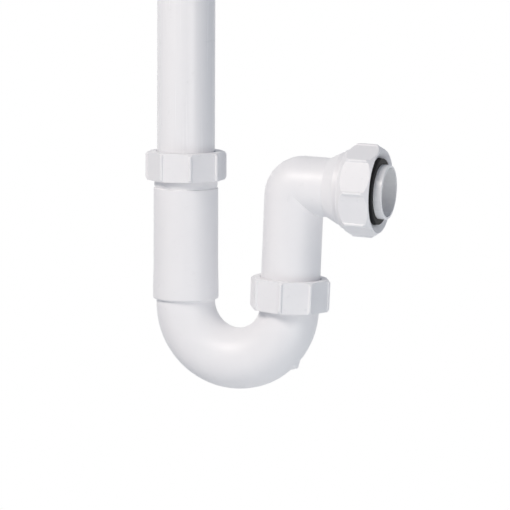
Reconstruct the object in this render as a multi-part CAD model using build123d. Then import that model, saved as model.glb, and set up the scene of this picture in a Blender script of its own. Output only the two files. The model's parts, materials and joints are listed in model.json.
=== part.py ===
from build123d import *

import math
import os

# A washing machine trap. The standpipe drops into the tall leg of a U-bend, and the bend's
# short leg carries an elbow that swivels, with a socket for the waste pipe. Three compression
# joints hold it together, each with a nut, a slip ring and a rubber seal.
# Lengths are in millimetres and angles in degrees. The origin is on the standpipe's axis, about
# level with the outlet. X runs from the standpipe towards the outlet, and Z points up.

# Pipes
pipe_radius = 21.5
pipe_wall = 2.1
pipe_end_chamfer = 0.5
standpipe_length = 540.0
tail_radius = 20.0
tail_wall = 1.9
tail_reach = 6.3

# Bend. It is fuller at its belly than at its ends. It stops a little short of a half turn, so
# the short leg leans out and the outlet falls away from the trap.
leg_spacing = 81.5
leg_splay = 2.2
bend_depth = 89.2
bend_end_radius = 21.8
bend_belly_radius = 22.75
bend_wall = 2.1
gate_angle = 44.0
gate_height = 1.9
gate_root = 2.2
gate_base_radius = 8.0
gate_tip_radius = 1.2

# Legs of the bend
leg_wall = 2.25
tall_leg_height = 102.45
short_leg_height = 15.6
shoulder_rise = 2.5
foot_height = 8.5
foot_taper = 20.0
foot_swell = 0.4
foot_round = 1.2
neck_length = 18.6
neck_relief = 0.5
groove_width = 1.0
groove_depth = 0.4
groove_slope = 0.5

# Sockets and their seats
socket_fit = 0.25
pipe_end_gap = 0.2
ledge_height = 2.3
seat_depth = 6.5
seat_flare = 0.7

# Seals and slip rings
seal_grip_gap = 0.15
seal_seat_gap = 0.05
seal_depth = 5.0
seal_head = 2.5
ring_thickness = 2.0
ring_fit = 0.3
ring_edge_gap = 1.2
ring_chamfer = 0.3

# Nuts
facets = 8
thread_height = 1.1
thread_fit = 0.3
standpipe_nut_height = 21.2
standpipe_nut_turn = 26.0
riser_nut_height = 23.5
riser_nut_turn = 4.0
nut_lip = 3.0
nut_wall = 2.25
nut_crown_inset = 3.8
nut_crown_drop = 3.8
nut_foot_inset = 1.2
nut_foot_skirt = 0.3
nut_foot_rise = 1.5
lip_fit = 0.4
lip_edge = 0.8
mouth_edge = 0.5
grip_bead_radius = 1.5
grip_bead_stand = 0.8
blank_margin = 0.5

# Elbow
spigot_radius = 21.9
spigot_wall = 2.2
riser_height = 92.0
knuckle_radius = 7.8
flare_start = 27.5
flare_length = 9.0
outlet_socket_length = 19.0
outlet_socket_bore = 24.8
outlet_socket_wall = 1.8
tail_stop = 3.0
tail_seat_length = 3.0
flare_lining = 1.2

# Outlet seal and nut
outlet_seal_head = 4.5
outlet_nose_radius = 24.3
outlet_nose_reach = 0.3
outlet_nose_round = 0.6
outlet_nut_height = 26.3
outlet_nut_turn = -1.5
outlet_nut_lip = 4.4
outlet_nut_wall = 3.05
outlet_nut_crown_inset = 3.8
outlet_nut_crown_drop = 5.8
outlet_nut_dish_width = 5.6
outlet_nut_dish_depth = 2.9
outlet_nut_foot_inset = 5.5
outlet_nut_foot_skirt = 1.0
outlet_nut_foot_rise = 6.3

# Shared sizes that follow from the ones above
pipe_bore = pipe_radius - pipe_wall
tail_bore = tail_radius - tail_wall
spigot_bore = spigot_radius - spigot_wall
bend_bore = bend_end_radius - bend_wall
bend_radius = leg_spacing / 2
bend_sweep = 180 - leg_splay
bend_z = -bend_depth
leg_radius = pipe_radius + socket_fit + leg_wall
neck_radius = leg_radius - neck_relief
shoulder_z = bend_z + shoulder_rise
ledge_z = shoulder_z + ledge_height
tall_mouth_z = shoulder_z + tall_leg_height
nut_bore = neck_radius + thread_height + thread_fit
outlet_root = outlet_socket_bore + outlet_socket_wall
outlet_nut_bore = outlet_root + thread_height + thread_fit
outlet_mouth = flare_start + flare_length + outlet_socket_length
outlet_nut_front = outlet_mouth + outlet_seal_head + ring_thickness + outlet_nut_lip
tail_start = flare_start + tail_stop + pipe_end_gap
tail_end = outlet_nut_front + tail_reach

# Cylinders and cones stand on their lower end
BASE = (Align.CENTER, Align.CENTER, Align.MIN)

# The tall leg's mouth, and the centre that the bend is swept about
TALL_MOUTH = Pos(0, 0, tall_mouth_z)
BEND_CENTRE = Pos(bend_radius, 0, bend_z)

# The short leg's frame starts where the bend ends, with Z up the leg. The outlet's frame starts
# where its axis meets the riser's, with Z towards the waste pipe.
RISER = BEND_CENTRE * Rot(0, leg_splay, 0) * Pos(bend_radius, 0, 0)
OUTLET = RISER * Pos(0, 0, riser_height) * Rot(0, 90, 0)


def turned(points):
    """Solid turned about Z from a closed outline of (radius, height) points."""
    outline = Polyline(*[(radius, 0, height) for radius, height in points], close=True)
    return revolve(make_face(outline), Axis.Z)


def tube(outer, inner, low, high, chamfer_size):
    """Straight tube on Z with its outer end edges broken."""
    return turned([
        (inner, low),
        (outer - chamfer_size, low),
        (outer, low + chamfer_size),
        (outer, high - chamfer_size),
        (outer - chamfer_size, high),
        (inner, high),
    ])


def grip_section(bore, wall, turn):
    """Eight-sided outline with a round bead on each corner, and the reach of its beads."""
    corner = (bore + wall) / math.cos(math.pi / facets)
    reach = corner + grip_bead_stand
    section = Rot(0, 0, turn) * RegularPolygon(corner, facets)
    for k in range(facets):
        bead = Pos(reach - grip_bead_radius, 0) * Circle(grip_bead_radius)
        section += Rot(0, 0, turn + 360 * k / facets) * bead
    return section, reach


def nut_blank(reach, low, high, crown, foot):
    """Turned body that takes a nut's corners off, in a crown at its lip and a cone at its foot."""
    crown_inset, crown_drop, crown_rounded = crown
    foot_inset, foot_skirt, foot_rise = foot
    outer = reach + blank_margin
    skirt_high = low + foot_skirt
    foot_high = skirt_high + foot_rise * (foot_inset + blank_margin) / foot_inset
    crown_start = Vector(reach - crown_inset, 0, high)
    crown_end = Vector(outer, 0, high - crown_drop)
    if crown_rounded:
        shoulder = TangentArc(crown_start, crown_end, tangent=(1, 0, 0))
    else:
        shoulder = Line(crown_start, crown_end)
    side = Polyline(
        crown_end,
        (outer, 0, foot_high),
        (reach - foot_inset, 0, skirt_high),
        (reach - foot_inset, 0, low),
        (0, 0, low),
        (0, 0, high),
        crown_start,
    )
    return revolve(make_face(side.edges() + shoulder.edges()), Axis.Z)


def compression_nut(bore, wall, crown, foot, lip, hole, dish, low, top, turn):
    """Nut on Z whose lip closes its top, over a bore that leaves room for the thread."""
    dish_width, dish_depth = dish
    section, reach = grip_section(bore, wall, turn)
    lip_low = top - lip
    prism = Pos(0, 0, low) * extrude(section, top - low)
    body = prism & nut_blank(reach, low, top, crown, foot)
    return body - turned([
        (0, low),
        (bore + mouth_edge, low),
        (bore, low + mouth_edge),
        (bore, lip_low),
        (hole, lip_low),
        (hole, top - dish_depth),
        (hole + dish_width, top),
        (0, top),
    ])


def pipe_joint(pipe, nut_height, turn):
    """Seal, slip ring and nut round a pipe, with the leg's mouth at height 0."""
    ring_low = seal_head
    ring_high = ring_low + ring_thickness
    seal_bore = pipe + seal_grip_gap
    rim = nut_bore - ring_edge_gap
    seat_rim = pipe + socket_fit + seat_flare - seal_seat_gap
    seat_tip = seat_rim - seat_flare * seal_depth / seat_depth
    seal = turned([
        (seal_bore, -seal_depth),
        (seat_tip, -seal_depth),
        (seat_rim, 0),
        (rim, 0),
        (rim, seal_head),
        (seal_bore, seal_head),
    ])
    slip_ring = tube(rim, pipe + ring_fit, ring_low, ring_high, ring_chamfer)
    top = ring_high + nut_lip
    nut = compression_nut(
        nut_bore, nut_wall,
        (nut_crown_inset, nut_crown_drop, True),
        (nut_foot_inset, nut_foot_skirt, nut_foot_rise),
        nut_lip, pipe + lip_fit, (lip_edge, lip_edge), top - nut_height, top, turn,
    )
    return seal, slip_ring, nut


def outlet_joint():
    """Seal, slip ring and nut of the outlet, with the socket's mouth at height 0."""
    ring_low = outlet_seal_head
    ring_high = ring_low + ring_thickness
    front = ring_high + outlet_nut_lip
    seal_bore = tail_radius + seal_grip_gap
    rim = outlet_nut_bore - ring_edge_gap
    seat_rim = outlet_socket_bore + seat_flare - seal_seat_gap
    seat_tip = seat_rim - seat_flare * seal_depth / seat_depth
    nose = front + outlet_nose_reach
    seal = turned([
        (seal_bore, -seal_depth),
        (seat_tip, -seal_depth),
        (seat_rim, 0),
        (rim, 0),
        (rim, outlet_seal_head),
        (outlet_nose_radius, outlet_seal_head),
        (outlet_nose_radius, nose),
        (seal_bore, nose),
    ])
    nose_edges = seal.edges().filter_by(GeomType.CIRCLE).group_by(Axis.Z)[-1]
    seal = fillet(nose_edges.sort_by(SortBy.RADIUS)[-1], outlet_nose_round)
    slip_ring = tube(rim, outlet_nose_radius + ring_fit, ring_low, ring_high, ring_chamfer)
    nut = compression_nut(
        outlet_nut_bore, outlet_nut_wall,
        (outlet_nut_crown_inset, outlet_nut_crown_drop, False),
        (outlet_nut_foot_inset, outlet_nut_foot_skirt, outlet_nut_foot_rise),
        outlet_nut_lip, outlet_nose_radius + lip_fit,
        (outlet_nut_dish_width, outlet_nut_dish_depth),
        front - outlet_nut_height, front, outlet_nut_turn,
    )
    return seal, slip_ring, nut


def bend_section(swept, radius):
    """Round section of the bend, at an angle swept from the tall leg."""
    return BEND_CENTRE * Rot(0, -swept, 0) * Pos(-bend_radius, 0, 0) * Circle(radius)


def bend_outside():
    """Outside of the bend, swept along an arc through sections that swell at the belly."""
    path = BEND_CENTRE * Rot(90, 0, 0) * CenterArc((0, 0, 0), bend_radius, 180, bend_sweep)
    sections = [
        bend_section(0, bend_end_radius),
        bend_section(bend_sweep / 2, bend_belly_radius),
        bend_section(bend_sweep, bend_end_radius),
    ]
    return sweep(sections=sections, path=path, multisection=True)


def leg_hollow(bore, ledge, mouth):
    """Hollow of a leg: the pipe's socket above the ledge, widening to the seal's seat."""
    return turned([
        (0, ledge),
        (bore, ledge),
        (bore, mouth - seat_depth),
        (bore + seat_flare, mouth),
        (0, mouth),
    ])


def make_u_bend():
    """Bend in one moulding: tall leg, bend, short leg and the cone left by the gate."""
    foot_top = shoulder_z + foot_height
    groove_top = tall_mouth_z - neck_length
    groove_low = groove_top - groove_width
    groove_radius = neck_radius - groove_depth
    tall_leg = turned([
        (0, shoulder_z),
        (leg_radius + foot_swell, shoulder_z),
        (leg_radius + foot_swell, foot_top),
        (leg_radius, foot_top + foot_taper),
        (leg_radius, groove_low - groove_slope),
        (groove_radius, groove_low),
        (groove_radius, groove_top),
        (neck_radius, groove_top + groove_slope),
        (neck_radius, tall_mouth_z),
        (0, tall_mouth_z),
    ])
    shoulder = tall_leg.edges().filter_by(GeomType.CIRCLE).group_by(Axis.Z)[0]
    tall_leg = fillet(shoulder, foot_round)
    throat = Pos(0, 0, bend_z) * Cylinder(bend_end_radius, shoulder_rise, align=BASE)
    short_leg = RISER * Cylinder(neck_radius, short_leg_height, align=BASE)
    outer = tall_leg + throat + bend_outside() + short_leg

    gate_low = bend_radius + bend_belly_radius - gate_root
    gate = Cone(gate_base_radius, gate_tip_radius, gate_root + gate_height, align=BASE)
    outer += BEND_CENTRE * Rot(0, 90 + gate_angle, 0) * Pos(0, 0, gate_low) * gate

    axis = Axis((bend_radius, 0, bend_z), (0, -1, 0))
    waterway = revolve(bend_section(0, bend_bore), axis, bend_sweep)
    waterway += Pos(0, 0, bend_z) * Cylinder(bend_bore, ledge_z - bend_z, align=BASE)
    waterway += leg_hollow(pipe_radius + socket_fit, ledge_z, tall_mouth_z)
    waterway += RISER * Cylinder(bend_bore, ledge_height, align=BASE)
    waterway += RISER * leg_hollow(spigot_radius + socket_fit, ledge_height, short_leg_height)
    return outer - waterway


def knuckle(radius, low, run):
    """Solid round elbow with a tight corner, from a height on Z to a run along X."""
    corner_z = riser_height - knuckle_radius
    upright = Pos(0, 0, low) * Cylinder(radius, corner_z - low, align=BASE)
    level = Rot(0, 90, 0) * Cylinder(radius, run - knuckle_radius, align=BASE)
    level = Pos(knuckle_radius, 0, riser_height) * level
    outer_side = Rectangle(4 * radius, 4 * radius, align=(Align.MAX, Align.CENTER))
    corner_section = Pos(0, 0, corner_z) * Circle(radius)
    corner_section &= Pos(knuckle_radius, 0, corner_z) * outer_side
    turn = revolve(corner_section, Axis((knuckle_radius, 0, corner_z), (0, 1, 0)), 90)
    return upright + turn + level


def make_elbow():
    """Elbow in one moulding: spigot, knuckle, flare and the outlet's threaded socket."""
    spigot_low = ledge_height + pipe_end_gap
    flare_end = flare_start + flare_length
    lining_end = flare_end + flare_lining
    stop = flare_start + tail_stop
    seat_end = stop + tail_seat_length
    outer = RISER * knuckle(spigot_radius, spigot_low, flare_start)
    outer += OUTLET * turned([
        (0, flare_start),
        (spigot_radius, flare_start),
        (outlet_root, flare_end),
        (outlet_root, outlet_mouth),
        (0, outlet_mouth),
    ])
    waterway = RISER * knuckle(spigot_bore, spigot_low, stop)
    waterway += OUTLET * turned([
        (0, stop),
        (tail_radius + socket_fit, stop),
        (tail_radius + socket_fit, seat_end),
        (outlet_socket_bore, lining_end),
        (outlet_socket_bore, outlet_mouth - seat_depth),
        (outlet_socket_bore + seat_flare, outlet_mouth),
        (0, outlet_mouth),
    ])
    return outer - waterway


def make_parts():
    """Every piece by its node's name."""
    parts = {"u_bend": make_u_bend(), "outlet_elbow": make_elbow()}
    foot = ledge_z + pipe_end_gap
    parts["standpipe"] = tube(
        pipe_radius, pipe_bore, foot, foot + standpipe_length, pipe_end_chamfer,
    )
    parts["outlet_tail"] = OUTLET * tube(
        tail_radius, tail_bore, tail_start, tail_end, pipe_end_chamfer,
    )
    standpipe_joint = pipe_joint(pipe_radius, standpipe_nut_height, standpipe_nut_turn)
    riser_joint = pipe_joint(spigot_radius, riser_nut_height, riser_nut_turn)
    joints = {
        "standpipe": (TALL_MOUTH, standpipe_joint),
        "riser": (RISER * Pos(0, 0, short_leg_height), riser_joint),
        "outlet": (OUTLET * Pos(0, 0, outlet_mouth), outlet_joint()),
    }
    for name, (place, (seal, slip_ring, nut)) in joints.items():
        parts[name + "_seal"] = place * seal
        parts[name + "_slip_ring"] = place * slip_ring
        parts[name + "_nut"] = place * nut
    return parts


os.makedirs("parts", exist_ok=True)
for node, shape in make_parts().items():
    export_step(shape, os.path.join("parts", node + ".step"))
    print(node, "volume", round(shape.volume, 1))
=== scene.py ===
# %% [markdown]
# # A washing machine trap, dressed for its portrait
# The machine's drain hose hangs in the tall standpipe. Water falls through it into the U-bend,
# which always keeps some water as a stopper against smells, and leaves by the swivelling elbow.
# The exact solids come from the CAD frame. This lesson adds what a moulding shop would see on
# the real thing: screw threads, parting lines, the gate's scar, and the skin of each plastic.

# %% Load the frame
import json
import math

import bmesh
import bpy
from mathutils import Matrix, Vector


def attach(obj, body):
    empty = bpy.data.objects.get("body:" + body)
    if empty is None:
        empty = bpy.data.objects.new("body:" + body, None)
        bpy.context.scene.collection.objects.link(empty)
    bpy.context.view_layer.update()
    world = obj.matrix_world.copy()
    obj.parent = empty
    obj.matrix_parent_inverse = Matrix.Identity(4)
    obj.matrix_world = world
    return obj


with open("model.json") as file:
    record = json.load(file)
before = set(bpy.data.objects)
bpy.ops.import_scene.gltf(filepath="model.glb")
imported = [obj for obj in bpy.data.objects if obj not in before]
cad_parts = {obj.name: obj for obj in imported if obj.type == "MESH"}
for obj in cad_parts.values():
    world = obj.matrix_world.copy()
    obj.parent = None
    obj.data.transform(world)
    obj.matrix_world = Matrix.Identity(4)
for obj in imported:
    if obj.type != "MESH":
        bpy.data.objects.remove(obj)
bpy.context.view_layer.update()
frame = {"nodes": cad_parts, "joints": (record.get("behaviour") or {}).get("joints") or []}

solids = frame["nodes"]
MM = 0.001
scene = bpy.context.scene


# %% [markdown]
# ## The camera
# The photograph is a long lens from a little above and a little to the right of square-on: the
# open outlet shows its ring, and the nuts show a sliver of their tops. A long lens keeps the
# pipes almost parallel, so the camera stands far off with a narrow view.

# %% Place the camera
photo_side = 510
view_azimuth = math.radians(19.0)
view_elevation = math.radians(7.16)
view_roll = math.radians(0.23)
view_distance = 2.769
focal_pixels = 3738.0
aim_base = Vector((41.25, 0, 0)) * MM
aim_right = 12.44 * MM
aim_up = -52.78 * MM

sideways = Vector((math.cos(view_azimuth), math.sin(view_azimuth), 0))
backwards = Vector((
    math.sin(view_azimuth) * math.cos(view_elevation),
    -math.cos(view_azimuth) * math.cos(view_elevation),
    math.sin(view_elevation),
))
aim = aim_base + sideways * aim_right + Vector((0, 0, aim_up))
turn = Matrix((sideways, backwards.cross(sideways), backwards)).transposed()
lens = bpy.data.cameras.new("portrait_lens")
lens.sensor_width = 36
lens.lens = focal_pixels * lens.sensor_width / photo_side
camera = bpy.data.objects.new("portrait_camera", lens)
camera.matrix_world = (
    Matrix.Translation(aim + backwards * view_distance)
    @ turn.to_4x4()
    @ Matrix.Rotation(view_roll, 4, "Z")
)
scene.collection.objects.link(camera)
scene.camera = camera
print("camera", [round(v, 3) for v in camera.location], "lens", round(lens.lens, 1), "mm")

# %% [markdown]
# ## Floor, backdrop and light
# A catalogue picture of white plastic on white needs the object to separate from the page by
# shading alone. One broad lamp stands high on the left, and a weak one on the right keeps the
# pipes' middles even. A small card low on the right throws some light up into the open outlet,
# and a lamp behind shows the back, which the portrait doesn't see, in the same white.
# The rest is the cool, even light of a pale room, so the right-hand edges go grey without going
# dark. The floor lies well below, as the trap hangs on a wall clip. Near the object it is a
# plain matt floor that takes its shadow, and further off it fades into the white of the page.
# The back lamp is kept out of reflections, or it would draw a bright rim round every pipe.

# %% Helpers for node trees
def add_node(tree, kind, values=None, **settings):
    """New node with its settings, and plain values on its input sockets."""
    made = tree.nodes.new(kind)
    for name, value in settings.items():
        setattr(made, name, value)
    for name, value in (values or {}).items():
        made.inputs[name].default_value = value
    return made


def join(tree, *pairs):
    """Link each output socket to its input socket."""
    for source, target in pairs:
        tree.links.new(source, target)


# %% World light
room_light = 0.30
world = bpy.data.worlds.new("pale_room")
world.use_nodes = True
scene.world = world
tree = world.node_tree
tree.nodes.clear()
paths = add_node(tree, "ShaderNodeLightPath")
seen = add_node(tree, "ShaderNodeMath", operation="MAXIMUM")
seen_or_clear = add_node(tree, "ShaderNodeMath", operation="MAXIMUM")
room = add_node(tree, "ShaderNodeBackground",
                {"Color": (0.72, 0.83, 1.0, 1.0), "Strength": room_light})
page = add_node(tree, "ShaderNodeBackground",
                {"Color": (1.0, 1.0, 1.0, 1.0), "Strength": 1.0})
choose = add_node(tree, "ShaderNodeMixShader")
output = add_node(tree, "ShaderNodeOutputWorld")
join(
    tree,
    (paths.outputs["Is Camera Ray"], seen.inputs[0]),
    (paths.outputs["Is Transmission Ray"], seen.inputs[1]),
    (seen.outputs[0], seen_or_clear.inputs[0]),
    (paths.outputs["Is Glossy Ray"], seen_or_clear.inputs[1]),
    (seen_or_clear.outputs[0], choose.inputs[0]),
    (room.outputs[0], choose.inputs[1]),
    (page.outputs[0], choose.inputs[2]),
    (choose.outputs[0], output.inputs["Surface"]),
)
print("world", world.name, "at", room_light)

# %% Floor
floor_level = -0.60
floor_half = 8.0
floor_mesh = bpy.data.meshes.new("studio_floor")
floor_mesh.from_pydata(
    [(x * floor_half, y * floor_half, floor_level)
     for x, y in ((-1, -1), (1, -1), (1, 1), (-1, 1))],
    [], [(0, 1, 2, 3)],
)
floor = bpy.data.objects.new("studio_floor", floor_mesh)
scene.collection.objects.link(floor)

paper = bpy.data.materials.new("studio_paper")
paper.use_nodes = True
tree = paper.node_tree
tree.nodes.clear()
place = add_node(tree, "ShaderNodeTexCoord")
away = add_node(tree, "ShaderNodeVectorMath", operation="LENGTH")
fade = add_node(tree, "ShaderNodeMapRange",
                {"From Min": 0.7, "From Max": 1.5}, interpolation_type="SMOOTHSTEP")
paths = add_node(tree, "ShaderNodeLightPath")
seen = add_node(tree, "ShaderNodeMath", operation="MAXIMUM")
page_share = add_node(tree, "ShaderNodeMath", operation="MULTIPLY")
matt = add_node(tree, "ShaderNodeBsdfDiffuse", {"Color": (0.93, 0.93, 0.93, 1.0)})
page = add_node(tree, "ShaderNodeEmission", {"Color": (1.0, 1.0, 1.0, 1.0), "Strength": 1.0})
choose = add_node(tree, "ShaderNodeMixShader")
output = add_node(tree, "ShaderNodeOutputMaterial")
join(
    tree,
    (place.outputs["Object"], away.inputs[0]),
    (away.outputs["Value"], fade.inputs["Value"]),
    (paths.outputs["Is Camera Ray"], seen.inputs[0]),
    (paths.outputs["Is Glossy Ray"], seen.inputs[1]),
    (seen.outputs[0], page_share.inputs[0]),
    (fade.outputs["Result"], page_share.inputs[1]),
    (page_share.outputs[0], choose.inputs[0]),
    (matt.outputs[0], choose.inputs[1]),
    (page.outputs[0], choose.inputs[2]),
    (choose.outputs[0], output.inputs["Surface"]),
)
floor_mesh.materials.append(paper)
print("floor at", floor_level, "m")

# %% Lamps
def studio_lamp(name, azimuth, elevation, distance, width, height, watts, colour):
    """Area lamp that faces the trap's middle from a compass angle and a height angle."""
    a, e = math.radians(azimuth), math.radians(elevation)
    away_from = Vector((math.sin(a) * math.cos(e), -math.cos(a) * math.cos(e), math.sin(e)))
    shape = bpy.data.lights.new(name, "AREA")
    shape.shape = "RECTANGLE"
    shape.size, shape.size_y = width, height
    shape.energy = watts
    shape.color = colour
    lamp = bpy.data.objects.new(name, shape)
    lamp.location = aim + away_from * distance
    lamp.rotation_euler = away_from.to_track_quat("Z", "Y").to_euler()
    lamp.visible_camera = False
    scene.collection.objects.link(lamp)
    return lamp


key_lamp = studio_lamp(
    "key_lamp", azimuth=-26.0, elevation=42.0, distance=2.2, width=1.3, height=0.6,
    watts=31.0, colour=(1.0, 0.94, 0.875))
side_lamp = studio_lamp(
    "side_lamp", azimuth=40.0, elevation=5.0, distance=2.0, width=0.8, height=0.8,
    watts=5.4, colour=(1.0, 0.93, 0.89))
low_card = studio_lamp(
    "low_card", azimuth=55.0, elevation=-33.0, distance=0.75, width=0.3, height=0.3,
    watts=0.85, colour=(0.90, 0.98, 0.98))
back_lamp = studio_lamp(
    "back_lamp", azimuth=199.0, elevation=-4.0, distance=2.2, width=1.0, height=0.8,
    watts=14.0, colour=(1.0, 0.95, 0.90))
back_lamp.visible_glossy = False
print("lamps", key_lamp.name, side_lamp.name, low_card.name, back_lamp.name)

# %% View settings
scene.view_settings.view_transform = "Standard"
print("view", scene.view_settings.view_transform)

# %% [markdown]
# ## Skins as shared node groups
# Injection-moulded polypropylene copies the steel of its mould: a faint orange-peel ripple, and
# cloudy bands where the melt flowed. Extruded pipe has drag lines along its length. Rubber is
# peppered by fine grit and dulled by bloom. Each skin is one shader group that gives a tint
# mask, a roughness and a height, so that every material places the same skin with its own sizes.

# %% Group helpers
def new_skin_group(name, inputs):
    """Shader group with a vector, named numbers in, and tint, roughness and height out."""
    group = bpy.data.node_groups.new(name, "ShaderNodeTree")
    group.interface.new_socket("Vector", in_out="INPUT", socket_type="NodeSocketVector")
    for socket_name, value in inputs.items():
        socket = group.interface.new_socket(
            socket_name, in_out="INPUT", socket_type="NodeSocketFloat")
        socket.default_value = value
    for socket_name in ("Tint", "Roughness", "Height"):
        group.interface.new_socket(
            socket_name, in_out="OUTPUT", socket_type="NodeSocketFloat")
    return group, add_node(group, "NodeGroupInput"), add_node(group, "NodeGroupOutput")


def scaled(tree, socket, factor_socket):
    """Product of two sockets."""
    times = add_node(tree, "ShaderNodeMath", operation="MULTIPLY")
    join(tree, (socket, times.inputs[0]), (factor_socket, times.inputs[1]))
    return times.outputs[0]


def around(tree, socket, middle_socket, swing_socket):
    """Middle value moved up and down by a 0-to-1 pattern."""
    centred = add_node(tree, "ShaderNodeMath", {1: 0.5}, operation="SUBTRACT")
    moved = add_node(tree, "ShaderNodeMath", operation="MULTIPLY_ADD")
    join(
        tree,
        (socket, centred.inputs[0]),
        (centred.outputs[0], moved.inputs[0]),
        (swing_socket, moved.inputs[1]),
        (middle_socket, moved.inputs[2]),
    )
    return moved.outputs[0]


# %% Moulded skin
moulded_skin, given, put_out = new_skin_group("moulded_skin", {
    "Flow Size": 45.0, "Peel Size": 700.0, "Roughness": 0.3, "Roughness Swing": 0.12,
    "Peel": 0.6,
})
flow = add_node(moulded_skin, "ShaderNodeTexNoise",
                {"Detail": 3.0, "Roughness": 0.55, "Distortion": 0.6})
peel = add_node(moulded_skin, "ShaderNodeTexNoise", {"Detail": 2.0, "Roughness": 0.5})
join(
    moulded_skin,
    (given.outputs["Vector"], flow.inputs["Vector"]),
    (given.outputs["Flow Size"], flow.inputs["Scale"]),
    (given.outputs["Vector"], peel.inputs["Vector"]),
    (given.outputs["Peel Size"], peel.inputs["Scale"]),
    (flow.outputs["Fac"], put_out.inputs["Tint"]),
    (around(moulded_skin, flow.outputs["Fac"], given.outputs["Roughness"],
            given.outputs["Roughness Swing"]), put_out.inputs["Roughness"]),
    (scaled(moulded_skin, peel.outputs["Fac"], given.outputs["Peel"]),
     put_out.inputs["Height"]),
)
print("group", moulded_skin.name)

# %% Extruded skin
extruded_skin, given, put_out = new_skin_group("extruded_skin", {
    "Line Size": 520.0, "Stretch": 0.012, "Roughness": 0.26, "Roughness Swing": 0.14,
    "Line Depth": 0.7,
})
squeeze = add_node(extruded_skin, "ShaderNodeCombineXYZ", {"X": 1.0, "Y": 1.0})
drawn = add_node(extruded_skin, "ShaderNodeVectorMath", operation="MULTIPLY")
lines = add_node(extruded_skin, "ShaderNodeTexNoise", {"Detail": 4.0, "Roughness": 0.6})
join(
    extruded_skin,
    (given.outputs["Stretch"], squeeze.inputs["Z"]),
    (given.outputs["Vector"], drawn.inputs[0]),
    (squeeze.outputs[0], drawn.inputs[1]),
    (drawn.outputs["Vector"], lines.inputs["Vector"]),
    (given.outputs["Line Size"], lines.inputs["Scale"]),
    (lines.outputs["Fac"], put_out.inputs["Tint"]),
    (around(extruded_skin, lines.outputs["Fac"], given.outputs["Roughness"],
            given.outputs["Roughness Swing"]), put_out.inputs["Roughness"]),
    (scaled(extruded_skin, lines.outputs["Fac"], given.outputs["Line Depth"]),
     put_out.inputs["Height"]),
)
print("group", extruded_skin.name)

# %% Rubber skin
rubber_skin, given, put_out = new_skin_group("rubber_skin", {
    "Bloom Size": 90.0, "Grit Size": 1800.0, "Roughness": 0.55, "Roughness Swing": 0.2,
    "Grit": 0.8,
})
bloom = add_node(rubber_skin, "ShaderNodeTexNoise", {"Detail": 4.0, "Roughness": 0.6})
grit = add_node(rubber_skin, "ShaderNodeTexVoronoi", feature="F1")
join(
    rubber_skin,
    (given.outputs["Vector"], bloom.inputs["Vector"]),
    (given.outputs["Bloom Size"], bloom.inputs["Scale"]),
    (given.outputs["Vector"], grit.inputs["Vector"]),
    (given.outputs["Grit Size"], grit.inputs["Scale"]),
    (bloom.outputs["Fac"], put_out.inputs["Tint"]),
    (around(rubber_skin, bloom.outputs["Fac"], given.outputs["Roughness"],
            given.outputs["Roughness Swing"]), put_out.inputs["Roughness"]),
    (scaled(rubber_skin, grit.outputs["Distance"], given.outputs["Grit"]),
     put_out.inputs["Height"]),
)
print("group", rubber_skin.name)

# %% [markdown]
# ## Handling marks
# Fittings are tipped into a bin together, and each picks up faint rubbed streaks. They are far
# too light to see as dirt, but they break up a highlight. One group serves every white part.

# %% Handling marks
handling_marks = bpy.data.node_groups.new("handling_marks", "ShaderNodeTree")
handling_marks.interface.new_socket("Vector", in_out="INPUT", socket_type="NodeSocketVector")
for socket_name, value in (("Size", 160.0), ("Amount", 0.5)):
    socket = handling_marks.interface.new_socket(
        socket_name, in_out="INPUT", socket_type="NodeSocketFloat")
    socket.default_value = value
handling_marks.interface.new_socket("Mask", in_out="OUTPUT", socket_type="NodeSocketFloat")
given = add_node(handling_marks, "NodeGroupInput")
put_out = add_node(handling_marks, "NodeGroupOutput")
slant = add_node(handling_marks, "ShaderNodeMapping",
                 {"Rotation": (0.5, 0.9, 0.3), "Scale": (1.0, 0.12, 1.0)})
rubs = add_node(handling_marks, "ShaderNodeTexNoise",
                {"Detail": 5.0, "Roughness": 0.65, "Distortion": 0.3})
thin = add_node(handling_marks, "ShaderNodeMapRange",
                {"From Min": 0.60, "From Max": 0.74}, interpolation_type="SMOOTHSTEP")
join(
    handling_marks,
    (given.outputs["Vector"], slant.inputs["Vector"]),
    (slant.outputs["Vector"], rubs.inputs["Vector"]),
    (given.outputs["Size"], rubs.inputs["Scale"]),
    (rubs.outputs["Fac"], thin.inputs["Value"]),
    (scaled(handling_marks, thin.outputs["Result"], given.outputs["Amount"]),
     put_out.inputs["Mask"]),
)
print("group", handling_marks.name)

# %% [markdown]
# ## Materials
# All the white pieces are the same plastic in the photograph, a cool white that is a little
# grey beside the page. The mouldings, the nuts and the pipes still differ in skin, so each has
# a material of its own. A Mapping node turns the pipe's drag lines along the level tail.

# %% Material helper
def mixed_colour(tree, factor, first, second):
    """Colour between two, by a factor socket. Either colour is a socket or four numbers."""
    mix = add_node(tree, "ShaderNodeMix", data_type="RGBA")
    sockets = {socket.identifier: socket for socket in mix.inputs}
    join(tree, (factor, sockets["Factor_Float"]))
    for key, colour in (("A_Color", first), ("B_Color", second)):
        if isinstance(colour, tuple):
            sockets[key].default_value = colour
        else:
            join(tree, (colour, sockets[key]))
    return {socket.identifier: socket for socket in mix.outputs}["Result_Color"]


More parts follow.
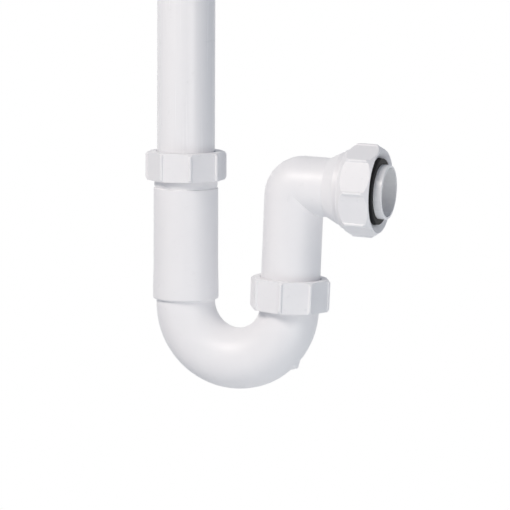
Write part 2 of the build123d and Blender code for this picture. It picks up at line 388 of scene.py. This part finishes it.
def skin_material(name, skin, sizes, pale, deep, bump_height, turned=(0, 0, 0), marks=None,
                  mark_colour=(0.70, 0.70, 0.71, 1.0), plain_values=None):
    """Principled material whose colour, roughness and bump come from a skin group."""
    material = bpy.data.materials.new(name)
    material.use_nodes = True
    tree = material.node_tree
    tree.nodes.clear()
    place = add_node(tree, "ShaderNodeTexCoord")
    turn_skin = add_node(tree, "ShaderNodeMapping", {"Rotation": turned})
    worn = add_node(tree, "ShaderNodeGroup", node_tree=skin)
    for socket_name, value in sizes.items():
        worn.inputs[socket_name].default_value = value
    ripple = add_node(tree, "ShaderNodeBump", {"Strength": 1.0, "Distance": bump_height})
    shader = add_node(tree, "ShaderNodeBsdfPrincipled", {"IOR": 1.49} | (plain_values or {}))
    output = add_node(tree, "ShaderNodeOutputMaterial")
    join(
        tree,
        (place.outputs["Object"], turn_skin.inputs["Vector"]),
        (turn_skin.outputs["Vector"], worn.inputs["Vector"]),
        (worn.outputs["Height"], ripple.inputs["Height"]),
        (ripple.outputs["Normal"], shader.inputs["Normal"]),
        (worn.outputs["Roughness"], shader.inputs["Roughness"]),
        (shader.outputs["BSDF"], output.inputs["Surface"]),
    )
    colour = mixed_colour(tree, worn.outputs["Tint"], pale, deep)
    if marks:
        rubbed = add_node(tree, "ShaderNodeGroup", node_tree=handling_marks)
        for socket_name, value in marks.items():
            rubbed.inputs[socket_name].default_value = value
        join(tree, (place.outputs["Object"], rubbed.inputs["Vector"]))
        colour = mixed_colour(tree, rubbed.outputs["Mask"], colour, mark_colour)
    join(tree, (colour, shader.inputs["Base Color"]))
    return material


# %% Make the materials
white_moulding = skin_material(
    "white_moulding", moulded_skin,
    {"Flow Size": 38.0, "Roughness": 0.41, "Roughness Swing": 0.10},
    pale=(0.865, 0.855, 0.868, 1.0), deep=(0.835, 0.825, 0.842, 1.0), bump_height=0.02 * MM,
    marks={"Size": 170.0, "Amount": 0.25},
)
white_nut = skin_material(
    "white_nut", moulded_skin,
    {"Flow Size": 60.0, "Peel Size": 900.0, "Roughness": 0.48, "Roughness Swing": 0.12},
    pale=(0.862, 0.853, 0.865, 1.0), deep=(0.830, 0.821, 0.838, 1.0), bump_height=0.02 * MM,
    marks={"Size": 240.0, "Amount": 0.35}, plain_values={"Specular IOR Level": 0.30},
)
upright_pipe = skin_material(
    "white_pipe_upright", extruded_skin, {},
    pale=(0.868, 0.860, 0.872, 1.0), deep=(0.840, 0.832, 0.848, 1.0), bump_height=0.01 * MM,
    marks={"Size": 130.0, "Amount": 0.25},
)
level_pipe = skin_material(
    "white_pipe_level", extruded_skin, {"Line Size": 620.0},
    pale=(0.868, 0.862, 0.868, 1.0), deep=(0.838, 0.832, 0.842, 1.0), bump_height=0.01 * MM,
    turned=(0, math.radians(-90), 0), marks={"Size": 180.0, "Amount": 0.25},
)
natural_ring = skin_material(
    "natural_ring", moulded_skin,
    {"Flow Size": 120.0, "Peel Size": 1200.0, "Roughness": 0.42, "Roughness Swing": 0.15},
    pale=(0.80, 0.80, 0.78, 1.0), deep=(0.74, 0.74, 0.71, 1.0), bump_height=0.02 * MM,
    marks={"Size": 300.0, "Amount": 0.3}, mark_colour=(0.62, 0.62, 0.60, 1.0),
)
black_rubber = skin_material(
    "black_rubber", rubber_skin, {"Roughness": 0.62},
    pale=(0.006, 0.006, 0.007, 1.0), deep=(0.016, 0.016, 0.017, 1.0), bump_height=0.06 * MM,
    plain_values={"Specular IOR Level": 0.22},
)
print("materials", len(bpy.data.materials))

# %% Give each solid its finish
finishes = {
    "u_bend": white_moulding, "outlet_elbow": white_moulding,
    "standpipe": upright_pipe, "outlet_tail": level_pipe,
    "standpipe_nut": white_nut, "riser_nut": white_nut, "outlet_nut": white_nut,
    "standpipe_slip_ring": natural_ring, "riser_slip_ring": natural_ring,
    "outlet_slip_ring": natural_ring,
    "standpipe_seal": black_rubber, "riser_seal": black_rubber, "outlet_seal": black_rubber,
}
for node_name, finish in finishes.items():
    for place in solids[node_name].material_slots:
        place.material = finish
print("finishes", len(finishes))

# %% [markdown]
# ## Where the screws are
# Three nuts screw on: over the tall leg, over the short leg, and over the outlet's socket. Each
# nut's joint in the frame gives its axis, and the socket's furthest points along that axis give
# its mouth. A place here is a matrix with its origin in the mouth and Z out along the screw, and
# every thread is made in that frame. Reading it off the solids means that nothing has to be
# moved by hand if the trap changes.

# %% Screw places
screw_joints = {joint["name"]: joint for joint in frame["joints"]}
near_axis = 30 * MM


def heights_along(place, node_name):
    """Lowest and highest point of a solid near a place's axis, along its Z."""
    inside = place.inverted()
    seen_from = [inside @ vertex.co for vertex in solids[node_name].data.vertices]
    heights = [point.z for point in seen_from if point.xy.length < near_axis]
    return min(heights), max(heights)


def mouth_place(screw, socket):
    """Matrix with its origin in a socket's mouth and Z along its nut's axis."""
    joint = screw_joints[screw + "_nut_turn"]
    along = Vector(joint["axis"]).normalized()
    across = Vector((0, 1, 0)).cross(along).normalized()
    turned = Matrix((across, along.cross(across), along)).transposed().to_4x4()
    place = Matrix.Translation(joint["pos_m"]) @ turned
    return place @ Matrix.Translation((0, 0, heights_along(place, socket)[1]))


screws = {
    "standpipe": {"socket": "u_bend", "root": 23.5 * MM, "bore": 24.9 * MM, "body": "trap_body"},
    "riser": {"socket": "u_bend", "root": 23.5 * MM, "bore": 24.9 * MM, "body": "trap_body"},
    "outlet": {"socket": "outlet_elbow", "root": 26.6 * MM, "bore": 28.0 * MM, "body": "elbow"},
}
for screw, facts in screws.items():
    facts["place"] = mouth_place(screw, facts["socket"])
    facts["nut_low"] = heights_along(facts["place"], screw + "_nut")[0]
    print(screw, "mouth at", [round(v / MM, 2) for v in facts["place"].translation],
          "mm, nut from", round(facts["nut_low"] / MM, 2))

# %% [markdown]
# ## A Geometry Nodes screw thread
# A moulded thread is one ridge with sloping sides, wound round its root and faded out at both
# ends, so that the mould can be unscrewed. A spiral curve carries a trapezoid, and the profile
# shrinks towards the spiral's ends. The same tree makes the nut's thread: there the trapezoid is
# turned to point inwards, and its root is the nut's bore.

# %% Tools for geometry trees
def new_geometry_tree(name, inputs):
    """Empty geometry tree with a Geometry input and named number inputs."""
    tree = bpy.data.node_groups.new(name, "GeometryNodeTree")
    tree.interface.new_socket("Geometry", in_out="INPUT", socket_type="NodeSocketGeometry")
    for socket_name, value in inputs.items():
        socket = tree.interface.new_socket(
            socket_name, in_out="INPUT", socket_type="NodeSocketFloat")
        socket.default_value = value
    tree.interface.new_socket("Material", in_out="INPUT", socket_type="NodeSocketMaterial")
    tree.interface.new_socket("Geometry", in_out="OUTPUT", socket_type="NodeSocketGeometry")
    return tree, add_node(tree, "NodeGroupInput"), add_node(tree, "NodeGroupOutput")


def sum_of(tree, kind, first, second):
    """Math node over two inputs, each a socket or a number."""
    made = add_node(tree, "ShaderNodeMath", operation=kind)
    for place, value in zip(made.inputs, (first, second)):
        if isinstance(value, (int, float)):
            place.default_value = value
        else:
            join(tree, (value, place))
    return made.outputs[0]


def grown(name, data, tree, values):
    """Plain mesh object from a geometry tree on some starting data."""
    seedling = bpy.data.objects.new(name + "_start", data)
    scene.collection.objects.link(seedling)
    modifier = seedling.modifiers.new("grow", "NODES")
    modifier.node_group = tree
    for item in tree.interface.items_tree:
        if item.in_out == "INPUT" and item.name in values:
            modifier[item.identifier] = values[item.name]
    graph = bpy.context.evaluated_depsgraph_get()
    mesh = bpy.data.meshes.new_from_object(seedling.evaluated_get(graph), depsgraph=graph)
    mesh.name = name
    bpy.data.objects.remove(seedling)
    piece = bpy.data.objects.new(name, mesh)
    scene.collection.objects.link(piece)
    return piece


# %% The thread's nodes
thread_lead = 3.0 * MM
thread_tree, given, put_out = new_geometry_tree("screw_thread", {
    "Root Radius": 23.5 * MM, "Ridge Height": 1.1 * MM, "Root Width": 1.9 * MM,
    "Crest Width": 0.7 * MM, "Buried": 0.1 * MM, "Facing": -math.pi / 2, "Low": 0.0,
    "Turns": 4.0, "Fade": 0.12,
})
spiral = add_node(thread_tree, "GeometryNodeCurveSpiral", {"Resolution": 56, "Reverse": True})
upright = add_node(thread_tree, "GeometryNodeSetCurveNormal", mode="Z_UP")
trapezoid = add_node(thread_tree, "GeometryNodeCurvePrimitiveQuadrilateral", {"Offset": 0.0},
                     mode="TRAPEZOID")
stand = add_node(thread_tree, "ShaderNodeCombineXYZ")
stood = add_node(thread_tree, "GeometryNodeTransform")
face = add_node(thread_tree, "ShaderNodeCombineXYZ")
faced = add_node(thread_tree, "GeometryNodeTransform")
along = add_node(thread_tree, "GeometryNodeSplineParameter")
fade_in = sum_of(thread_tree, "DIVIDE", along.outputs["Factor"], given.outputs["Fade"])
left_over = sum_of(thread_tree, "SUBTRACT", 1.0, along.outputs["Factor"])
fade_out = sum_of(thread_tree, "DIVIDE", left_over, given.outputs["Fade"])
fading = add_node(thread_tree, "ShaderNodeMapRange", {"To Min": 0.05},
                  interpolation_type="SMOOTHSTEP")
swept = add_node(thread_tree, "GeometryNodeCurveToMesh", {"Fill Caps": True})
lift = add_node(thread_tree, "ShaderNodeCombineXYZ")
lifted = add_node(thread_tree, "GeometryNodeTransform")
whole = add_node(thread_tree, "GeometryNodeRealizeInstances")
finish = add_node(thread_tree, "GeometryNodeSetMaterial")
ridge = sum_of(thread_tree, "ADD", given.outputs["Ridge Height"], given.outputs["Buried"])
rise = sum_of(thread_tree, "MULTIPLY", given.outputs["Turns"], thread_lead)
half_ridge = sum_of(thread_tree, "MULTIPLY", ridge, 0.5)
print("tree", thread_tree.name, "with", len(thread_tree.nodes), "nodes")

# %% The thread's links
join(
    thread_tree,
    (given.outputs["Turns"], spiral.inputs["Rotations"]),
    (given.outputs["Root Radius"], spiral.inputs["Start Radius"]),
    (given.outputs["Root Radius"], spiral.inputs["End Radius"]),
    (rise, spiral.inputs["Height"]),
    (spiral.outputs["Curve"], upright.inputs["Curve"]),
    (given.outputs["Root Width"], trapezoid.inputs["Bottom Width"]),
    (given.outputs["Crest Width"], trapezoid.inputs["Top Width"]),
    (ridge, trapezoid.inputs["Height"]),
    (trapezoid.outputs["Curve"], stood.inputs["Geometry"]),
    (sum_of(thread_tree, "SUBTRACT", half_ridge, given.outputs["Buried"]), stand.inputs["Y"]),
    (stand.outputs[0], stood.inputs["Translation"]),
    (stood.outputs[0], faced.inputs["Geometry"]),
    (given.outputs["Facing"], face.inputs["Z"]),
    (face.outputs[0], faced.inputs["Rotation"]),
    (sum_of(thread_tree, "MINIMUM", fade_in, fade_out), fading.inputs["Value"]),
    (upright.outputs["Curve"], swept.inputs["Curve"]),
    (faced.outputs[0], swept.inputs["Profile Curve"]),
    (fading.outputs["Result"], swept.inputs["Scale"]),
    (swept.outputs["Mesh"], lifted.inputs["Geometry"]),
    (given.outputs["Low"], lift.inputs["Z"]),
    (lift.outputs[0], lifted.inputs["Translation"]),
    (lifted.outputs[0], whole.inputs["Geometry"]),
    (whole.outputs[0], finish.inputs["Geometry"]),
    (given.outputs["Material"], finish.inputs["Material"]),
    (finish.outputs[0], put_out.inputs["Geometry"]),
)
print("tree", thread_tree.name, "with", len(thread_tree.links), "links")

# %% [markdown]
# ## Threads on the legs and in the nuts
# The outer thread ends a little below its mouth and above the nut's open end, so a tightened nut
# hides it all. The nut's thread runs half a lead higher, in the outer one's gaps. Its crests stay
# clear of the slip ring, so that the nut can be backed off over the ring.

# %% Finish a piece
weld_distance = 0.001 * MM


def finish_piece(piece, place, body, crease=30.0):
    """Set a piece in its place, shade it, and let it ride on a body."""
    mesh = piece.data
    mesh.transform(place)
    tidy = bmesh.new()
    tidy.from_mesh(mesh)
    bmesh.ops.remove_doubles(tidy, verts=tidy.verts, dist=weld_distance)
    bmesh.ops.recalc_face_normals(tidy, faces=tidy.faces)
    tidy.to_mesh(mesh)
    tidy.free()
    mesh.shade_smooth()
    mesh.set_sharp_from_angle(angle=math.radians(crease))
    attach(piece, body)
    print(piece.name, "on", body, len(mesh.polygons), "faces")


# %% Make the threads
thread_low_gap = 1.0 * MM
thread_top_gap = 0.7 * MM
inner_ridge = 1.05 * MM
for screw, facts in screws.items():
    low = facts["nut_low"] + thread_low_gap
    outer_thread = grown(screw + "_outer_thread", bpy.data.meshes.new("bare"), thread_tree, {
        "Root Radius": facts["root"], "Low": low, "Material": white_moulding,
        "Turns": (-thread_top_gap - low) / thread_lead,
    })
    finish_piece(outer_thread, facts["place"], facts["body"])
    low = facts["nut_low"] + thread_low_gap + thread_lead / 2
    inner_thread = grown(screw + "_nut_thread", bpy.data.meshes.new("bare"), thread_tree, {
        "Root Radius": facts["bore"], "Ridge Height": inner_ridge, "Facing": math.pi / 2,
        "Low": low, "Material": white_nut,
        "Turns": (-thread_top_gap - low) / thread_lead,
    })
    finish_piece(inner_thread, facts["place"], screw + "_nut")

# %% [markdown]
# ## Parting lines
# The bend and the elbow are each cast between two halves of a steel mould, which meet in the
# plane through the pipes' axes. A hair of plastic creeps into that join and stays as a raised
# line down both sides of the piece. It could be a bump in the material, but a real ridge also
# breaks the outline. Each line is a path along the surface, and Geometry Nodes carries a low
# trapezoid along it. A noise lets it come and go.

# %% The parting line's nodes
seam_tree, given, put_out = new_geometry_tree("parting_line", {
    "Width": 0.8 * MM, "Crest": 0.3 * MM, "Proud": 0.13 * MM, "Buried": 0.25 * MM,
    "Fade": 3.0 * MM, "Patch Size": 55.0, "Thinnest": 0.45, "Thickest": 1.1,
})
path = add_node(seam_tree, "GeometryNodeMeshToCurve")
facing = add_node(seam_tree, "GeometryNodeSetCurveNormal", {"Normal": (0, 1, 0)}, mode="FREE")
ridge_shape = add_node(seam_tree, "GeometryNodeCurvePrimitiveQuadrilateral", {"Offset": 0.0},
                       mode="TRAPEZOID")
stand = add_node(seam_tree, "ShaderNodeCombineXYZ")
stood = add_node(seam_tree, "GeometryNodeTransform")
along = add_node(seam_tree, "GeometryNodeSplineParameter")
full_length = add_node(seam_tree, "GeometryNodeSplineLength")
spot = add_node(seam_tree, "GeometryNodeInputPosition")
patches = add_node(seam_tree, "ShaderNodeTexNoise", {"Detail": 2.0, "Roughness": 0.6})
strength = add_node(seam_tree, "ShaderNodeMapRange", {"From Min": 0.35, "From Max": 0.65})
fading = add_node(seam_tree, "ShaderNodeMapRange", {"To Min": 0.05},
                  interpolation_type="SMOOTHSTEP")
swept = add_node(seam_tree, "GeometryNodeCurveToMesh", {"Fill Caps": True})
whole = add_node(seam_tree, "GeometryNodeRealizeInstances")
finish = add_node(seam_tree, "GeometryNodeSetMaterial")
height = sum_of(seam_tree, "ADD", given.outputs["Proud"], given.outputs["Buried"])
half_height = sum_of(seam_tree, "MULTIPLY", height, 0.5)
left_over = sum_of(seam_tree, "SUBTRACT", full_length.outputs["Length"], along.outputs["Length"])
from_end = sum_of(seam_tree, "MINIMUM", along.outputs["Length"], left_over)
print("tree", seam_tree.name, "with", len(seam_tree.nodes), "nodes")

# %% The parting line's links
join(
    seam_tree,
    (given.outputs["Geometry"], path.inputs["Mesh"]),
    (path.outputs["Curve"], facing.inputs["Curve"]),
    (given.outputs["Width"], ridge_shape.inputs["Bottom Width"]),
    (given.outputs["Crest"], ridge_shape.inputs["Top Width"]),
    (height, ridge_shape.inputs["Height"]),
    (ridge_shape.outputs["Curve"], stood.inputs["Geometry"]),
    (sum_of(seam_tree, "SUBTRACT", half_height, given.outputs["Buried"]), stand.inputs["Y"]),
    (stand.outputs[0], stood.inputs["Translation"]),
    (spot.outputs[0], patches.inputs["Vector"]),
    (given.outputs["Patch Size"], patches.inputs["Scale"]),
    (patches.outputs["Fac"], strength.inputs["Value"]),
    (given.outputs["Thinnest"], strength.inputs["To Min"]),
    (given.outputs["Thickest"], strength.inputs["To Max"]),
    (sum_of(seam_tree, "DIVIDE", from_end, given.outputs["Fade"]), fading.inputs["Value"]),
    (facing.outputs["Curve"], swept.inputs["Curve"]),
    (stood.outputs[0], swept.inputs["Profile Curve"]),
    (sum_of(seam_tree, "MULTIPLY", strength.outputs["Result"], fading.outputs["Result"]),
     swept.inputs["Scale"]),
    (swept.outputs["Mesh"], whole.inputs["Geometry"]),
    (whole.outputs[0], finish.inputs["Geometry"]),
    (given.outputs["Material"], finish.inputs["Material"]),
    (finish.outputs[0], put_out.inputs["Geometry"]),
)
print("tree", seam_tree.name, "with", len(seam_tree.links), "links")

# %% [markdown]
# ## Paths for the parting lines
# Every path lies in the plane of the axes, as (across, up) pairs in millimetres, and is walked
# with the piece on the right-hand side, so that the ridge always faces out. The bend is fuller
# at its belly, so its radius follows a parabola in the swept angle. The lines stop at the gate,
# and short of the nuts and of the spigot that turns in its seal.

# %% Along the bend and the leg
bend_radius, bend_level, bend_sweep = 40.75, -89.2, 177.8
bend_end, bend_belly = 21.8, 22.75
gate_swept, gate_clear = 136.0, 6.0
sweep_step = 2.0


def bend_point(swept, side):
    """Point on the bend's outer (+1) or inner (-1) line, at an angle from the tall leg."""
    from_middle = (swept - bend_sweep / 2) / (bend_sweep / 2)
    wall = bend_end + (bend_belly - bend_end) * (1 - from_middle ** 2)
    reach = bend_radius + side * wall
    angle = math.radians(swept)
    return bend_radius - reach * math.cos(angle), bend_level - reach * math.sin(angle)


def bend_line(start, stop, side):
    """Run of points along the bend between two swept angles."""
    count = max(2, round(abs(stop - start) / sweep_step))
    return [bend_point(start + (stop - start) * k / count, side) for k in range(count + 1)]


short_of_leg = 0.5
throat_top, bend_stop = -87.0, bend_sweep - short_of_leg
foot_reach, leg_reach = 24.4, 24.0
foot_low, foot_top, taper_top, groove_low = -85.3, -78.2, -58.2, -4.5
leg_line = [(foot_reach, foot_low), (foot_reach, foot_top), (leg_reach, taper_top),
            (leg_reach, groove_low)]
bend_lines = [
    bend_line(bend_stop, gate_swept + gate_clear, 1),
    bend_line(gate_swept - gate_clear, 0, 1) + [(-bend_end, throat_top)],
    [(bend_end, throat_top)] + bend_line(0, bend_stop, -1),
    [(-across, up) for across, up in leg_line],
    leg_line[::-1],
]
print("bend lines", len(bend_lines))

# %% Along the elbow
def knuckle_line(centre, reach, steps=16):
    """Quarter turn over the elbow's outer corner, from its upright arm to its level arm."""
    angles = [math.pi - math.pi / 2 * k / steps for k in range(steps + 1)]
    return [(centre[0] + reach * math.cos(a), centre[1] + reach * math.sin(a)) for a in angles]


spigot, arm_level, knuckle = 21.9, 92.0, 7.8
arm_low, socket_reach = 24.4, 26.6
flare_ends, nut_edge = (27.5, 36.5), 39.4
crook_gap = 0.4
elbow_lines = [
    [(-spigot, arm_low)]
    + knuckle_line((knuckle, arm_level - knuckle), knuckle + spigot)
    + [(flare_ends[0], arm_level + spigot), (flare_ends[1], arm_level + socket_reach),
       (nut_edge, arm_level + socket_reach)],
    [(nut_edge, arm_level - socket_reach), (flare_ends[1], arm_level - socket_reach),
     (flare_ends[0], arm_level - spigot), (spigot + crook_gap, arm_level - spigot)],
    [(spigot, arm_level - spigot - crook_gap), (spigot, arm_low)],
]
print("elbow lines", len(elbow_lines))

# %% Make the parting lines
def path_mesh(name, lines, longest=4.0):
    """Mesh of bare edges along lines of (across, up) points in millimetres."""
    points, edges = [], []
    for line in lines:
        for k, here in enumerate(line):
            if k:
                before = line[k - 1]
                pieces = max(1, math.ceil(math.dist(before, here) / longest))
                for part in range(1, pieces + 1):
                    share = part / pieces
                    edges.append((len(points) - 1, len(points)))
                    points.append([a + (b - a) * share for a, b in zip(before, here)])
            else:
                points.append(here)
    mesh = bpy.data.meshes.new(name)
    mesh.from_pydata([(x * MM, 0, z * MM) for x, z in points], edges, [])
    return mesh


short_leg_height = 15.6 * MM
riser_foot = screws["riser"]["place"] @ Matrix.Translation((0, 0, -short_leg_height))
for name, lines, place, body in (
    ("bend_parting_lines", bend_lines, Matrix.Identity(4), "trap_body"),
    ("elbow_parting_lines", elbow_lines, riser_foot, "elbow"),
):
    parting = grown(name, path_mesh(name + "_path", lines), seam_tree,
                    {"Material": white_moulding})
    finish_piece(parting, place, body)

# %% [markdown]
# ## The gate's scar
# Molten plastic entered the bend's mould through the low cone on its outside. When the sprue is
# snapped off, a torn nub is left on the cone's tip. It is a small turned form whose rings are
# made a little uneven by a few fixed waves, which is enough at this size.

# %% Make the scar
gate_tip = 65.4
scar_rings = ((1.25, -0.25), (1.18, 0.10), (1.02, 0.32), (0.74, 0.40), (0.36, 0.27))
scar_sides = 28
torn_waves = ((3, 0.05, 0.4), (7, 0.03, 0.0))
lift_waves = ((2, 0.14, 1.1), (5, 0.08, 0.0))


def waviness(angle, waves):
    """Sum of waves round a ring, each with a count, a height and a start."""
    return sum(size * math.sin(count * angle + start) for count, size, start in waves)


scar_mesh = bmesh.new()
rings = []
for ring_radius, ring_height in scar_rings:
    ring = []
    for k in range(scar_sides):
        a = 2 * math.pi * k / scar_sides
        reach = ring_radius * (1 + waviness(a, torn_waves))
        level = ring_height + max(ring_height, 0) * waviness(a, lift_waves)
        ring.append(scar_mesh.verts.new((
            reach * math.cos(a) * MM, reach * math.sin(a) * MM, level * MM,
        )))
    rings.append(ring)
for lower, upper in zip(rings, rings[1:]):
    for k in range(scar_sides):
        following = (k + 1) % scar_sides
        scar_mesh.faces.new((lower[k], lower[following], upper[following], upper[k]))
scar_mesh.faces.new(rings[-1])
scar_mesh.faces.new(rings[0][::-1])
print("scar with", len(scar_mesh.faces), "faces")

# %% Set the scar on the gate
scar_data = bpy.data.meshes.new("gate_scar")
scar_mesh.to_mesh(scar_data)
scar_mesh.free()
scar_data.materials.append(white_moulding)
gate_scar = bpy.data.objects.new("gate_scar", scar_data)
scene.collection.objects.link(gate_scar)
gate_out = math.radians(gate_swept - 90)
gate_place = (
    Matrix.Translation((bend_radius * MM, 0, bend_level * MM))
    @ Matrix.Rotation(math.pi - gate_out, 4, "Y")
    @ Matrix.Translation((0, 0, gate_tip * MM))
)
finish_piece(gate_scar, gate_place, "trap_body")
